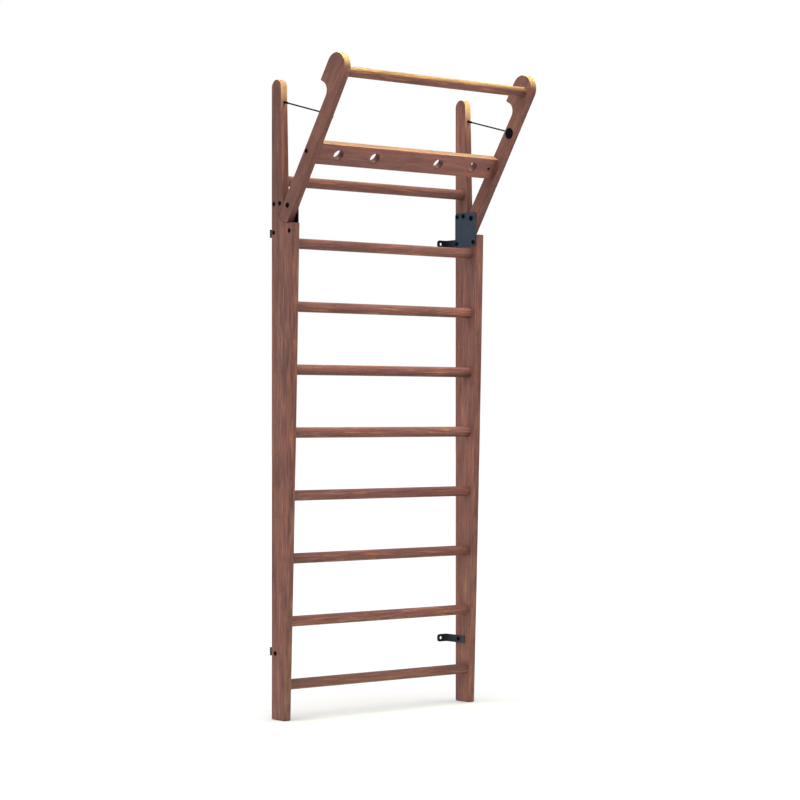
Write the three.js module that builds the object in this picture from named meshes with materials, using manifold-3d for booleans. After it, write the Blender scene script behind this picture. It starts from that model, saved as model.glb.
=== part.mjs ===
// Swedish wall bars with a fold-out pull-up frame.
// Millimetres, +Z up. The origin is on the wall, at floor level, midway between the uprights.
// +X is to the right and -Y is away from the wall, towards the user.
// Depths below (y) are measured from the back faces of the uprights, which stand STAND_OFF in front of the wall.
import * as THREE from "three";
import { mergeVertices } from "three/addons/utils/BufferGeometryUtils.js";
import Module from "manifold-3d";

const wasm = await Module();
wasm.setup();

// ---- driving dimensions -------------------------------------------------------------------------------------------
const WIDTH = 800; // over the outer faces of the uprights
const UPRIGHT_T = 25; // thickness of an upright
const STAND_OFF = 48; // wall to the back faces of the uprights
const FOOT_DEPTH = 68.9; // depth of an upright at the floor
const FOOT_R = 6; // rounded lower corners of an upright
const FRONT_RISE = 0.037; // gain in depth per mm of height at the floor
const FRONT_BOW = 4.0e-6; // and how the gain falls off, which bows the front edge a little
const SHOULDER_Z = 1588.4; // flat shoulder in front of the pivot
const UPPER_Y = -60.0; // front face of the slim upper part at UPPER_Z
const UPPER_Z = 1700;
const UPPER_SLOPE = 0.0276; // the slim part narrows towards its top
const TOP_R = 25.45; // rounded top of an upright
const TOP_CENTRE_Z = 2026.5;

const RUNG_R = 17;
const RUNG_COUNT = 9;
const RUNG_Z1 = 113.9; // axis of the lowest rung
const RUNG_PITCH = 201.7;
const RUNG_Y0 = -46.7; // axis depth of the rungs at floor level, below the shoulder
const RUNG_DY = -0.01712; // and its change per mm of height
const TOP_RUNG_Y = -33; // the top rung sits in the slim part
const MORTISE = 12; // depth of the blind holes that hold the rungs
const FIT = 0.35; // clearance between fixed pieces
const SIDES = 24; // facets of a rung

const PIVOT_Y = -85.2;
const PIVOT_Z = 1645.4;
const OPEN_DEG = 36.5; // the frame stands open by this angle
const POCKET_R = 57; // rounded pocket behind the shoulder, about the pivot
const POCKET_TOP = 1652.3; // from here down a slanted face stops the open arm
const POCKET_TURN = 59.3; // where that face meets the round of the pocket

const ARM_IN = 375.5; // inner face of an arm
const ARM_OUT = 399.5; // outer face of an arm
const ARM_GAP = 0.5; // folded arm to upright
const ARM_FOOT_R = 55.7; // the foot is rounded about the pivot
const ARM_FOOT_FROM = -33.0; // from the front edge
const ARM_FOOT_TO = 22.2; // to the back edge
const ARM_FRONT_TOP = [-91.3, 2106];
const HEAD = { y: -44, z: 2125, r: 46.5 };
const HOOK_Z = 2056.5; // underside of the hook
const HOOK_R = 30;
const HOOK_TIP = [0.8, 2053.5];

const BAR = { y: -54.2, z: 2120, r: 16.6, mortise: 13 };

const BEAM = { y: -69.4, z: 1837.2, width: 74, thick: 25, tilt: -2.2 };
const BEAM_BOLT = [-69, 1837.2]; // axis of the bolts that hold the plank
const BEAM_HOLE_R = 18;
const BEAM_HOLES = [-280, -133, 133, 280]; // along the beam, from its middle
const BEAM_NUT_X = 353;

const PLATE = { back: -2, front: -108.5, low: 1550.3, high: 1665.5, thick: 3, corner: 9 };
const PLATE_BOLTS = [
  [-12.3, 1653.6],
  [-44.6, 1654.2],
  [-11.2, 1562.3],
  [-96, 1564.1],
];
const BOLT_R = 4;
const BOLT_HEAD_R = 7;
const BOLT_HEAD_H = 2.8;
const NUT_H = 4.2;
const PIVOT_R = 5;
const PIVOT_HEAD_R = 8.5;
const BUSH_R = 7.5;

const BRACKET = { height: 26, thick: 3, foot: 42, hole: 5, holeAt: 27, corner: 10, bend: 1.5 };
const LOWER_BRACKET_Z = 213;
const PLATE_EAR_Z = PLATE.low + BRACKET.height / 2; // the ear of a hinge plate is bent to the wall
const LOWER_TAB = -49; // how far the side tab reaches forward
const PLATE_TAB = -30;
const LOWER_BOLT_Y = -20;

const STAY_R = 2.6; // wire rope
const STAY_X = 387.5; // mid-thickness of the arms
const STAY_FROM = [-53.3, 1977.4]; // where the rope leaves the upright
const STAY_TO = [-252.5, 1924.7]; // where it enters the open arm
const STAY_IN_ARM = 17; // rope inside the arm, up to its stop
const STAY_HOLE_R = 3.5;
const ANCHOR_R = 4;
const ANCHOR_LEN = 26;
const ANCHOR_SINK = 4;
const STOP_R = 5.5;
const STOP_LEN = 12;
const CAP = { y: -78.2, z: 1975.9, r: 18.4, lip: 2, bore: 15, depth: 19, spigot: 4 };

// ---- materials ----------------------------------------------------------------------------------------------------
const walnut = () => new THREE.MeshStandardMaterial({ color: 0x825c50, roughness: 0.55, metalness: 0 });
const rungWood = () => new THREE.MeshStandardMaterial({ color: 0x86604f, roughness: 0.5, metalness: 0 });
const coatedSteel = () => new THREE.MeshStandardMaterial({ color: 0x3c444f, roughness: 0.5, metalness: 0.4 });
const blackSteel = () => new THREE.MeshStandardMaterial({ color: 0x15161a, roughness: 0.42, metalness: 0.6 });
const blackPlastic = () => new THREE.MeshStandardMaterial({ color: 0x101216, roughness: 0.5, metalness: 0 });
const wireRope = () => new THREE.MeshStandardMaterial({ color: 0x1d1f22, roughness: 0.6, metalness: 0.2 });
const bronze = () => new THREE.MeshStandardMaterial({ color: 0x7c6a48, roughness: 0.4, metalness: 0.8 });

// ---- solids -------------------------------------------------------------------------------------------------------
function solid(geometry) {
  const g = geometry.clone();
  g.deleteAttribute("normal");
  g.deleteAttribute("uv");
  const m = mergeVertices(g, 1e-4);
  return new wasm.Manifold(
    new wasm.Mesh({
      numProp: 3,
      vertProperties: new Float32Array(m.attributes.position.array),
      triVerts: new Uint32Array(m.index.array),
    }),
  );
}
function geometryOf(s) {
  const m = s.getMesh();
  const g = new THREE.BufferGeometry();
  g.setAttribute("position", new THREE.BufferAttribute(new Float32Array(m.vertProperties), 3));
  g.setIndex(new THREE.BufferAttribute(new Uint32Array(m.triVerts), 1));
  g.computeVertexNormals();
  return g;
}
// An outline of (y, z) points pushed along X from x0 to x1.
function slab(points, x0, x1) {
  const shape = new THREE.Shape(points.map(([y, z]) => new THREE.Vector2(y, z)));
  const g = new THREE.ExtrudeGeometry(shape, { depth: x1 - x0, bevelEnabled: false, curveSegments: 1 });
  // local X, Y, Z become Y, Z, X
  g.applyMatrix4(new THREE.Matrix4().set(0, 0, 1, x0, 1, 0, 0, 0, 0, 1, 0, 0, 0, 0, 0, 1));
  return solid(g);
}
// A round bar along X.
function rodX(r, x0, x1, y, z, sides = 12) {
  const g = new THREE.CylinderGeometry(r, r, Math.abs(x1 - x0), sides);
  g.rotateZ(-Math.PI / 2);
  g.translate((x0 + x1) / 2, y, z);
  return solid(g);
}
// A turned piece: profile of (radius, along) points, turned about a line through p in direction d.
function turned(profile, p, d, sides = 16) {
  const g = new THREE.LatheGeometry(profile.map(([r, t]) => new THREE.Vector2(r, t)), sides);
  g.applyQuaternion(new THREE.Quaternion().setFromUnitVectors(new THREE.Vector3(0, 1, 0), d.clone().normalize()));
  g.translate(p.x, p.y, p.z);
  return solid(g);
}
function rod(r, p, d, t0, t1, sides = 12) {
  return turned([[0, t0], [r, t0], [r, t1], [0, t1]], p, d, sides);
}
function arc(cy, cz, r, from, to, n) {
  const out = [];
  for (let i = 0; i <= n; i++) {
    const a = THREE.MathUtils.degToRad(from + ((to - from) * i) / n);
    out.push([cy + r * Math.cos(a), cz + r * Math.sin(a)]);
  }
  return out;
}
// Points of a circle about the pivot, at angles measured from straight down towards the wall.
function pocketArc(r, from, to, n) {
  return arc(PIVOT_Y, PIVOT_Z, r, from - 90, to - 90, n);
}
const frontDepth = (z) => FOOT_DEPTH + FRONT_RISE * z - FRONT_BOW * z * z;
const upperFront = (z) => UPPER_Y + (z - UPPER_Z) * UPPER_SLOPE;
const rad = THREE.MathUtils.degToRad;

// ---- scene graph ---------------------------------------------------------------------------------------------------
const wallBars = new THREE.Group();
const frame = new THREE.Group(); // fixed to the wall
frame.position.set(0, -STAND_OFF, 0);
wallBars.add(frame);
const pullUp = new THREE.Group(); // turns about the pivot bolts; drawn folded, then opened
pullUp.position.set(0, PIVOT_Y, PIVOT_Z);
pullUp.rotation.x = rad(OPEN_DEG);
frame.add(pullUp);

function put(group, name, s, material, mirror) {
  let g = geometryOf(s);
  if (mirror) {
    g.scale(-1, 1, 1);
    const i = g.index.array;
    for (let k = 0; k < i.length; k += 3) [i[k + 1], i[k + 2]] = [i[k + 2], i[k + 1]];
    g.computeVertexNormals();
  }
  if (group === pullUp) g.translate(0, -PIVOT_Y, -PIVOT_Z);
  const mesh = new THREE.Mesh(g, material);
  mesh.name = name;
  group.add(mesh);
}
// Both sides of a piece that is drawn on the right, at +X.
function pair(group, name, make, material) {
  const s = make();
  put(group, name.replace("#", "right"), s, material(), false);
  put(group, name.replace("#", "left"), s, material(), true);
}

// ---- the stay's line, seen from the side ---------------------------------------------------------------------------
const stayFrom = new THREE.Vector3(STAY_X, ...STAY_FROM);
const stayTo = new THREE.Vector3(STAY_X, ...STAY_TO);
const stayDir = stayTo.clone().sub(stayFrom).normalize();
const staySpan = stayTo.distanceTo(stayFrom);
// The same line in the folded arm's own position.
function folded(v) {
  const a = rad(OPEN_DEG), dy = v.y - PIVOT_Y, dz = v.z - PIVOT_Z;
  return new THREE.Vector3(v.x, PIVOT_Y + dy * Math.cos(a) + dz * Math.sin(a), PIVOT_Z - dy * Math.sin(a) + dz * Math.cos(a));
}
const stayInArm = folded(stayTo);
const stayInArmDir = stayInArm.clone().sub(folded(stayFrom)).normalize();

// ---- uprights ------------------------------------------------------------------------------------------------------
const rungAt = (i) => {
  const z = RUNG_Z1 + RUNG_PITCH * i;
  return { y: i === RUNG_COUNT - 1 ? TOP_RUNG_Y : RUNG_Y0 + RUNG_DY * z, z };
};
const half = WIDTH / 2;
const inner = half - UPRIGHT_T;

pair(frame, "#_upright", () => {
  const outline = [
    ...arc(-FOOT_R, FOOT_R, FOOT_R, -90, 0, 5),
    [0, TOP_CENTRE_Z],
    ...arc(-TOP_R, TOP_CENTRE_Z, TOP_R, 0, 180, 20).slice(1, -1),
    [-2 * TOP_R, TOP_CENTRE_Z],
    [upperFront(POCKET_TOP), POCKET_TOP],
    ...pocketArc(POCKET_R, POCKET_TURN, 0, 12),
  ];
  for (let i = 0; i < 12; i++) {
    const z = SHOULDER_Z * (1 - i / 12);
    outline.push([-frontDepth(z), z]);
  }
  outline.push(...arc(FOOT_R - frontDepth(FOOT_R), FOOT_R, FOOT_R, 180, 270, 5));
  let s = slab(outline, inner, half);
  for (let i = 0; i < RUNG_COUNT; i++) {
    const { y, z } = rungAt(i);
    s = s.subtract(rodX(RUNG_R + FIT, inner - 5, inner + MORTISE + FIT, y, z, SIDES));
  }
  for (const [y, z] of PLATE_BOLTS) s = s.subtract(rodX(BOLT_R + FIT, inner - 5, half + 5, y, z));
  s = s.subtract(rodX(BOLT_R + FIT, inner - 5, half + 5, LOWER_BOLT_Y, LOWER_BRACKET_Z));
  // blind bore for the stay's end fitting
  s = s.subtract(rod(ANCHOR_R + FIT, stayFrom, stayDir, -ANCHOR_SINK - ANCHOR_LEN - 1, 12));
  return s;
}, walnut);

// ---- rungs ---------------------------------------------------------------------------------------------------------
for (let i = 0; i < RUNG_COUNT; i++) {
  const { y, z } = rungAt(i);
  put(frame, "rung_" + (i + 1), rodX(RUNG_R, -inner - MORTISE, inner + MORTISE, y, z, SIDES), rungWood());
}

const plateOut = inner - 0.3;
const plateIn = plateOut - PLATE.thick;
function roundedRect(y0, z0, y1, z1, r, n = 4) {
  return [
    ...arc(y1 - r, z1 - r, r, 0, 90, n),
    ...arc(y0 + r, z1 - r, r, 90, 180, n),
    ...arc(y0 + r, z0 + r, r, 180, 270, n),
    ...arc(y1 - r, z0 + r, r, 270, 360, n),
  ];
}
// ---- bolts and cap nuts ----------------------------------------------------------------------------------------------
// A button-head bolt whose head sits on the face at x = seat and whose shank runs inwards to x = end.
const alongX = new THREE.Vector3(1, 0, 0);
function bolt(seat, end, y, z, r, headR, headH) {
  const t = seat + 0.25;
  return turned(
    [[0, end], [r, end], [r, t], [headR, t], [headR, t + 0.4 * headH], [0.72 * headR, t + headH], [0, t + headH]],
    new THREE.Vector3(0, y, z), alongX, 12,
  );
}
// A cap nut under the face at x = seat, with a blind bore for the end of the bolt.
function capNut(seat, y, z, r, headR, h) {
  const t = seat - 0.25;
  return turned(
    [[0, t - h], [0.72 * headR, t - h], [headR, t - 0.6 * h], [headR, t], [r + FIT, t], [r + FIT, t - h + 1.6], [0, t - h + 1.6]],
    new THREE.Vector3(0, y, z), alongX, 12,
  );
}
const lowTabIn = inner - 0.3 - BRACKET.thick; // inner face of a lower bracket, on the upright
PLATE_BOLTS.forEach(([y, z], k) => {
  pair(frame, "#_plate_bolt_" + (k + 1), () => bolt(half, plateIn - 2.2, y, z, BOLT_R, BOLT_HEAD_R, BOLT_HEAD_H), blackSteel);
  pair(frame, "#_plate_nut_" + (k + 1), () => capNut(plateIn, y, z, BOLT_R, BOLT_HEAD_R, NUT_H), blackSteel);
});
pair(frame, "#_bracket_bolt", () => bolt(half, lowTabIn - 2.2, LOWER_BOLT_Y, LOWER_BRACKET_Z, BOLT_R, BOLT_HEAD_R, BOLT_HEAD_H), blackSteel);
pair(frame, "#_bracket_nut", () => capNut(lowTabIn, LOWER_BOLT_Y, LOWER_BRACKET_Z, BOLT_R, BOLT_HEAD_R, NUT_H), blackSteel);
pair(frame, "#_pivot_bolt", () => bolt(ARM_OUT, plateIn - 2.2, PIVOT_Y, PIVOT_Z, PIVOT_R, PIVOT_HEAD_R, 3), blackSteel);
pair(frame, "#_pivot_nut", () => capNut(plateIn, PIVOT_Y, PIVOT_Z, PIVOT_R, PIVOT_HEAD_R, NUT_H), blackSteel);

// ---- wall brackets ---------------------------------------------------------------------------------------------------
// A bent strip: a side tab along the upright and a foot flat on the wall that points inwards.
function bracket(tabX, reach, zMid) {
  const { height, thick, foot, hole, holeAt, corner, bend } = BRACKET;
  const outX = tabX + thick, wall = STAND_OFF, z0 = zMid - height / 2, z1 = zMid + height / 2;
  // The strip seen from above, as (x, y), pushed up along Z.
  const plan = new THREE.Shape();
  plan.moveTo(outX, reach);
  plan.lineTo(outX, wall - bend - thick);
  plan.absarc(outX - bend - thick, wall - bend - thick, bend + thick, 0, Math.PI / 2, false);
  plan.lineTo(outX - foot, wall);
  plan.lineTo(outX - foot, wall - thick);
  plan.lineTo(outX - bend - thick, wall - thick);
  plan.absarc(outX - bend - thick, wall - bend - thick, bend, Math.PI / 2, 0, true);
  plan.lineTo(tabX, reach);
  const g = new THREE.ExtrudeGeometry(plan, { depth: height, bevelEnabled: false, curveSegments: 5 });
  g.translate(0, 0, z0);
  let s = solid(g);
  // rounded end of the foot: kept part seen from the front, as (x, z), pushed along Y
  const keep = new THREE.Shape();
  keep.moveTo(outX + 2, z0 - 2);
  keep.lineTo(outX + 2, z1 + 2);
  keep.lineTo(outX - foot + corner + 3, z1 + 2);
  keep.lineTo(outX - foot + corner + 3, z1);
  keep.absarc(outX - foot + corner, z1 - corner, corner, Math.PI / 2, Math.PI, false);
  keep.absarc(outX - foot + corner, z0 + corner, corner, Math.PI, 1.5 * Math.PI, false);
  keep.lineTo(outX - foot + corner + 3, z0);
  keep.lineTo(outX - foot + corner + 3, z0 - 2);
  const k = new THREE.ExtrudeGeometry(keep, { depth: 200, bevelEnabled: false, curveSegments: 5 });
  k.rotateX(Math.PI / 2); // (x, z, depth) to (x, -depth, z)
  k.translate(0, wall + 20, 0);
  s = s.intersect(solid(k));
  const h = new THREE.CylinderGeometry(hole, hole, 20, 20);
  h.translate(outX - holeAt, wall, zMid);
  return s.subtract(solid(h));
}
pair(frame, "lower_#_bracket", () => {
  const hole = rodX(BOLT_R + FIT, lowTabIn - 5, inner + 5, LOWER_BOLT_Y, LOWER_BRACKET_Z);
  return bracket(lowTabIn, LOWER_TAB, LOWER_BRACKET_Z).subtract(hole);
}, coatedSteel);

// ---- hinge plates, each with an ear that is bent to the wall ---------------------------------------------------------
pair(frame, "#_hinge_plate", () => {
  let s = slab(roundedRect(PLATE.front, PLATE.low, PLATE.back, PLATE.high, PLATE.corner), plateIn, plateOut);
  s = s.add(bracket(plateIn, PLATE_TAB, PLATE_EAR_Z));
  for (const [y, z] of PLATE_BOLTS) s = s.subtract(rodX(BOLT_R + FIT, plateIn - 5, plateOut + 5, y, z));
  return s.subtract(rodX(PIVOT_R + FIT, plateIn - 5, plateOut + 5, PIVOT_Y, PIVOT_Z));
}, coatedSteel);

// ---- stays -----------------------------------------------------------------------------------------------------------
pair(frame, "#_stay_anchor", () => rod(ANCHOR_R, stayFrom, stayDir, -ANCHOR_SINK - ANCHOR_LEN, -ANCHOR_SINK, 14), blackSteel);
pair(frame, "#_stay_cable", () => rod(STAY_R, stayFrom, stayDir, -ANCHOR_SINK + 0.3, staySpan + STAY_IN_ARM - 0.3, 10), wireRope);

// ---- arms ------------------------------------------------------------------------------------------------------------
pair(pullUp, "#_arm", () => {
  const back = (z) => upperFront(z) - ARM_GAP;
  const outline = [
    [back(HOOK_Z - HOOK_R), HOOK_Z - HOOK_R],
    ...arc(back(HOOK_Z - HOOK_R) + HOOK_R, HOOK_Z - HOOK_R, HOOK_R, 180, 90, 8).slice(1),
    [HOOK_TIP[0] - 2.2, HOOK_TIP[1] + 0.2],
    [HOOK_TIP[0], HOOK_TIP[1] + 2.4],
    ...arc(HEAD.y, HEAD.z, HEAD.r, -1.4, 176, 22),
    ARM_FRONT_TOP,
    ...pocketArc(ARM_FOOT_R, ARM_FOOT_FROM, ARM_FOOT_TO, 12),
  ].reverse();
  let s = slab(outline, ARM_IN, ARM_OUT);
  s = s.subtract(rodX(BUSH_R + FIT, ARM_IN - 5, ARM_OUT + 5, PIVOT_Y, PIVOT_Z, 20));
  s = s.subtract(rodX(BAR.r + FIT, ARM_IN - 5, ARM_IN + BAR.mortise + FIT, BAR.y, BAR.z, SIDES));
  s = s.subtract(rodX(BOLT_R + FIT, ARM_IN - 5, ARM_OUT + 5, ...BEAM_BOLT));
  s = s.subtract(rodX(CAP.bore, ARM_IN - 5, ARM_IN + CAP.depth, CAP.y, CAP.z, 24));
  return s.subtract(rod(STAY_HOLE_R, stayInArm, stayInArmDir, -20, 14, 12));
}, walnut);

pair(pullUp, "#_pivot_bush", () => {
  const s = rodX(BUSH_R, ARM_IN + 0.1, ARM_OUT - 0.1, PIVOT_Y, PIVOT_Z, 20);
  return s.subtract(rodX(PIVOT_R + FIT, ARM_IN - 5, ARM_OUT + 5, PIVOT_Y, PIVOT_Z));
}, bronze);

put(pullUp, "pull_up_bar", rodX(BAR.r, -ARM_IN - BAR.mortise, ARM_IN + BAR.mortise, BAR.y, BAR.z, SIDES), rungWood());

// ---- crossbeam -------------------------------------------------------------------------------------------------------
const tilt = rad(BEAM.tilt);
const beamAcross = new THREE.Vector3(0, Math.cos(tilt), Math.sin(tilt)); // through its thickness, towards the wall
const nutMid = (side) => new THREE.Vector3(side * BEAM_NUT_X, ...BEAM_BOLT);
const boltOff = (BEAM_BOLT[0] - BEAM.y) * beamAcross.y + (BEAM_BOLT[1] - BEAM.z) * beamAcross.z; // bolt axis behind mid-thickness
{
  const end = ARM_IN - 0.3;
  const g = new THREE.BoxGeometry(2 * end, BEAM.thick, BEAM.width);
  g.rotateX(tilt);
  g.translate(0, BEAM.y, BEAM.z);
  let s = solid(g);
  for (const x of BEAM_HOLES) s = s.subtract(rod(BEAM_HOLE_R, new THREE.Vector3(x, BEAM.y, BEAM.z), beamAcross, -30, 30, 24));
  for (const side of [-1, 1]) {
    // a hole for the bolt from the end, and one for its barrel nut: from the front on the right, from the back on the left
    s = s.subtract(rodX(BOLT_R + FIT, side * (BEAM_NUT_X - 12), side * (end + 5), ...BEAM_BOLT));
    s = s.subtract(rod(5 + FIT, nutMid(side), beamAcross.clone().multiplyScalar(side), -30, 6.5, 16));
  }
  put(pullUp, "crossbeam", s, walnut());
}
pair(pullUp, "#_crossbeam_bolt", () => bolt(ARM_OUT, BEAM_NUT_X - 8, ...BEAM_BOLT, BOLT_R, BOLT_HEAD_R, BOLT_HEAD_H), blackSteel);
for (const [name, side] of [["right", 1], ["left", -1]]) {
  // its face lies 0.5 mm under the face of the plank that it was put in from
  const s = rod(5, nutMid(side), beamAcross.clone().multiplyScalar(side), 0.5 - BEAM.thick / 2 - side * boltOff, 6, 16);
  put(pullUp, name + "_crossbeam_nut", s.subtract(rodX(BOLT_R + FIT, -400, 400, ...BEAM_BOLT)), blackSteel());
}

// ---- stay ends in the arms -------------------------------------------------------------------------------------------
pair(pullUp, "#_stay_stop", () => rod(STOP_R, stayInArm, stayInArmDir, STAY_IN_ARM, STAY_IN_ARM + STOP_LEN, 14), blackSteel);
pair(pullUp, "#_arm_cap", () => {
  const lipOut = ARM_IN - 0.3;
  return turned(
    [[0, lipOut + CAP.spigot], [CAP.bore - 0.4, lipOut + CAP.spigot], [CAP.bore - 0.4, lipOut], [CAP.r, lipOut], [CAP.r, lipOut - 0.6 * CAP.lip], [CAP.r - 2, lipOut - CAP.lip], [0, lipOut - CAP.lip]].reverse(),
    new THREE.Vector3(0, CAP.y, CAP.z), alongX, 24,
  );
}, blackPlastic);

export default wallBars;
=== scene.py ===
# Swedish wall bars with a fold-out pull-up frame: the looks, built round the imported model.
import math

import bmesh
import bpy
from mathutils import Matrix, Vector


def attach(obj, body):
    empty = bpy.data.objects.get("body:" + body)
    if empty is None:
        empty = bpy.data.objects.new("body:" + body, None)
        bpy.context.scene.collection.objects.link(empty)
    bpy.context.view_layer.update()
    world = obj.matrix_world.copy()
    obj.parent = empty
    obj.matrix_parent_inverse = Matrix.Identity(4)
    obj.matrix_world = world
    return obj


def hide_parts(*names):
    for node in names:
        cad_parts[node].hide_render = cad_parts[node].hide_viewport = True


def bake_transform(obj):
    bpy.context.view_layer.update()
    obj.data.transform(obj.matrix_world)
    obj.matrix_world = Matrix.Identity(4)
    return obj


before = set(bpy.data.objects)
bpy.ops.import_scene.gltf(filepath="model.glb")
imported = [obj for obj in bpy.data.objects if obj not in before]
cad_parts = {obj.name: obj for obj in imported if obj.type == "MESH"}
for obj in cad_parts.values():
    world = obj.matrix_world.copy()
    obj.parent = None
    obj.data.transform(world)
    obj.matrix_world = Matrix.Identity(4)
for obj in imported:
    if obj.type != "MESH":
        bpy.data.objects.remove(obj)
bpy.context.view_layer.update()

# ---- the object's own dimensions, in millimetres; depths y are measured from the back faces of the uprights --------
STAND_OFF = 48.0
HALF, INNER = 400.0, 375.0
FOOT_DEPTH, FOOT_R, FRONT_RISE, FRONT_BOW, SHOULDER_Z = 68.9, 6.0, 0.037, 4.0e-6, 1588.4
TOP_R, TOP_CENTRE_Z = 25.45, 2026.5
RUNG_R, MORTISE, FIT = 17.0, 12.0, 0.35
PIVOT_Y, PIVOT_Z, OPEN_DEG = -85.2, 1645.4, 36.5
POCKET_R, POCKET_TOP, POCKET_TURN = 57.0, 1652.3, 59.3
ARM_IN, ARM_OUT, ARM_GAP = 375.5, 399.5, 0.5
ARM_FRONT_TOP, ARM_FOOT_R, ARM_FOOT_FROM, ARM_FOOT_TO = (-91.3, 2106.0), 55.7, -33.0, 22.2
HEAD_Y, HEAD_Z, HEAD_R = -44.0, 2125.0, 46.5
HOOK_Z, HOOK_R, HOOK_TIP = 2056.5, 30.0, (0.8, 2053.5)
BAR_Y, BAR_Z, BAR_R, BAR_MORTISE = -54.2, 2120.0, 16.6, 13.0
BEAM_Y, BEAM_Z, BEAM_W, BEAM_T, BEAM_TILT = -69.4, 1837.2, 74.0, 25.0, -2.2
BEAM_BOLT = (-69.0, 1837.2)
BEAM_HOLE_R, BEAM_HOLES, BEAM_NUT_X = 18.0, (-280.0, -133.0, 133.0, 280.0), 353.0
PLATE_OUT, PLATE_IN = 374.7, 371.7
PLATE = (-108.5, 1550.3, -2.0, 1665.5, 9.0)
PLATE_BOLTS = ((-12.3, 1653.6), (-44.6, 1654.2), (-11.2, 1562.3), (-96.0, 1564.1))
NUT_H = 4.2
BRACKET_H, BRACKET_T, BRACKET_FOOT, BRACKET_HOLE, BRACKET_HOLE_AT, BRACKET_BEND, BRACKET_CORNER = 26.0, 3.0, 42.0, 5.0, 27.0, 1.5, 10.0
LOWER_Z, LOWER_TAB, LOWER_BOLT_Y = 213.0, -49.0, -20.0
STAY_X, STAY_FROM, STAY_TO = 387.5, (-53.3, 1977.4), (-252.5, 1924.7)
CAP_Y, CAP_Z, CAP_R, CAP_LIP, CAP_BORE = -78.2, 1975.9, 18.4, 2.0, 15.0

MM = 0.001
collection = bpy.context.scene.collection


def at(x, y, z):
    """A point given in millimetres, as metres in the row frame."""
    return Vector((x * MM, (y - STAND_OFF) * MM, z * MM))


TO_FRAME = Matrix.Translation((0, -STAND_OFF * MM, 0)) @ Matrix.Scale(MM, 4)
PIVOT = at(0, PIVOT_Y, PIVOT_Z)
OPENED = Matrix.Translation(PIVOT) @ Matrix.Rotation(math.radians(OPEN_DEG), 4, "X") @ Matrix.Translation(-PIVOT)


def rung_at(i):
    z = 113.9 + 201.7 * i
    return (-33.0 if i == 8 else -46.7 - 0.01712 * z), z


def upper_front(z):
    return -60.0 + (z - 1700.0) * 0.0276


def front_depth(z):
    return FOOT_DEPTH + FRONT_RISE * z - FRONT_BOW * z * z


# ---- camera ----------------------------------------------------------------------------------------------------------
camera_data = bpy.data.cameras.new("camera")
camera_data.sensor_width = 36.0
camera_data.lens = 2303.78 / 800.0 * 36.0
camera_data.shift_y = 15.57 / 800.0
camera_data.clip_start, camera_data.clip_end = 0.05, 200.0
camera = bpy.data.objects.new("camera", camera_data)
camera.location = (-4.73684, -6.01088 - STAND_OFF * MM, 0.97531)
camera.rotation_euler = (math.radians(90.0), 0.0, math.radians(-39.0))
collection.objects.link(camera)
bpy.context.scene.camera = camera


# ---- outlines --------------------------------------------------------------------------------------------------------
def arc(cy, cz, r, a0, a1, n):
    out = []
    for i in range(n + 1):
        a = math.radians(a0 + (a1 - a0) * i / n)
        out.append((cy + r * math.cos(a), cz + r * math.sin(a)))
    return out


def pivot_arc(r, a0, a1, n):
    """Points about the pivot, at angles measured from straight down towards the wall."""
    return arc(PIVOT_Y, PIVOT_Z, r, a0 - 90.0, a1 - 90.0, n)


def rounded(points, n=6):
    """A closed outline whose points may carry a corner radius as a third number."""
    out, count = [], len(points)
    for i, p in enumerate(points):
        if len(p) < 3 or p[2] <= 0:
            out.append(Vector(p[:2]))
            continue
        here = Vector(p[:2])
        a = (Vector(points[i - 1][:2]) - here).normalized()
        b = (Vector(points[(i + 1) % count][:2]) - here).normalized()
        half = math.acos(max(-1.0, min(1.0, a.dot(b)))) / 2
        reach = p[2] / math.tan(half)
        centre = here + (a + b).normalized() * (p[2] / math.sin(half))
        start, end = here + a * reach - centre, here + b * reach - centre
        turn = math.atan2(start.x * end.y - start.y * end.x, start.dot(end))
        for k in range(n + 1):
            c, s = math.cos(turn * k / n), math.sin(turn * k / n)
            out.append(centre + Vector((start.x * c - start.y * s, start.x * s + start.y * c)))
    return out


def off_line(p, a, b):
    """Distance from p to the straight piece from a to b."""
    d = b - a
    t = max(0.0, min(1.0, (p - a).dot(d) / max(1e-12, d.length_squared)))
    return (p - a - d * t).length


def inset(points, d):
    """The outline moved inwards by d; it runs anticlockwise. Points that would pass each other at a corner meet there."""
    if d < 1e-6:
        return list(points)
    n = len(points)
    out, sharp = [], []
    for i, p in enumerate(points):
        a = (p - points[i - 1]).normalized()
        b = (points[(i + 1) % n] - p).normalized()
        na, nb = Vector((-a.y, a.x)), Vector((-b.y, b.x))
        out.append(p + (na + nb) * (d / max(0.2, 1 + na.dot(nb))))
        sharp.append(a.dot(b) < math.cos(math.radians(16)))
    lost = [any(off_line(q, points[k], points[(k + 1) % n]) < d - 0.02 for k in range(n)) for q in out]
    lost = [l or (sharp[i] and (lost[i - 1] or lost[(i + 1) % n])) for i, l in enumerate(lost)]
    if not any(lost):
        return out
    first = lost.index(False)
    i = 0
    while i < n:
        k = (first + i) % n
        if not lost[k]:
            i += 1
            continue
        run = 1
        while lost[(k + run) % n]:
            run += 1
        before, after = (k - 1) % n, (k + run) % n
        da = (points[k] - points[before]).normalized()
        db = (points[after] - points[after - 1]).normalized()
        gap = out[after] - out[before]
        cross = da.x * db.y - da.y * db.x
        meet = out[before] + da * ((gap.x * db.y - gap.y * db.x) / cross) if abs(cross) > 1e-4 else out[before] + gap / 2
        for m in range(run):
            out[(k + m) % n] = meet.copy()
        i += run
    return out


# ---- meshes ----------------------------------------------------------------------------------------------------------
def mesh_of(bm, name):
    bmesh.ops.recalc_face_normals(bm, faces=bm.faces)
    me = bpy.data.meshes.new(name)
    bm.to_mesh(me)
    bm.free()
    return me


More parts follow.
